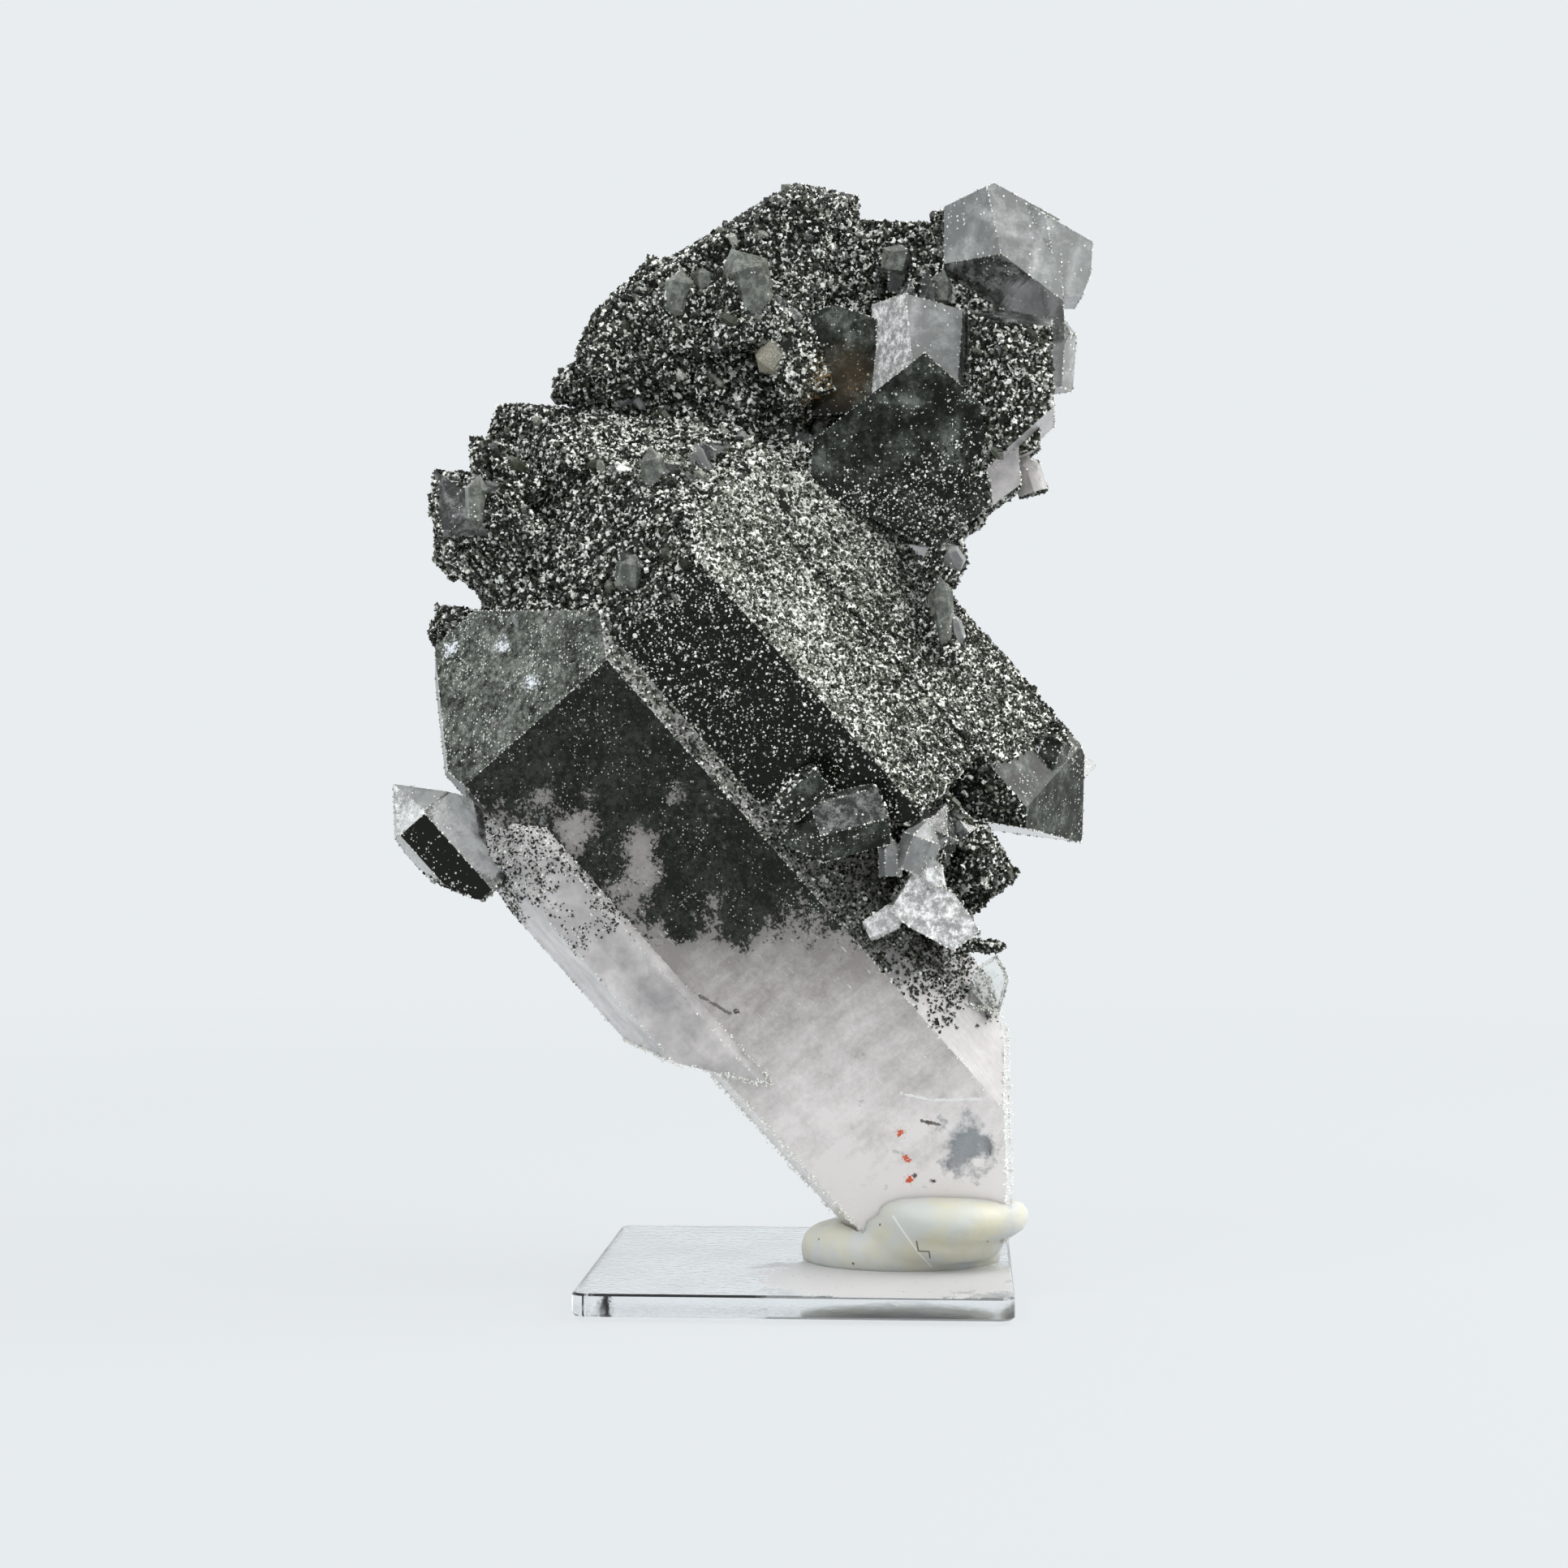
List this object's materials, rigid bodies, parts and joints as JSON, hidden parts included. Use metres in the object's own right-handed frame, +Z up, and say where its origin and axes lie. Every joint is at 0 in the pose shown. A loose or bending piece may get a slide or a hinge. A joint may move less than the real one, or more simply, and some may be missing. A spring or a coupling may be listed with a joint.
{
  "type": "chlorite quartz crystal cluster",
  "caption": "Parallel-grown quartz crystals with dark chlorite crust and clear milky stem, set in putty on a small square clear stand.",
  "frame": {"origin": "middle of the stand's underside", "axes": "+Z up, +X to the right along the stand's front edge, +Y towards the back"},
  "size_m": [0.064, 0.0395, 0.1035],
  "materials": {
    "chlorite_quartz": "rough sparkling crust, glossy clear faces where bare",
    "chlorite_grain": "small glossy dark green platelets",
    "clear_quartz": "clear to milky, glossy",
    "putty": "soft waxy cream",
    "acrylic": "polished clear sheet"
  },
  "bodies": {
    "root": {"crystal_cluster": "chlorite_quartz", "mounting_putty": "putty", "acrylic_stand": "acrylic"}
  },
  "joints": []
}
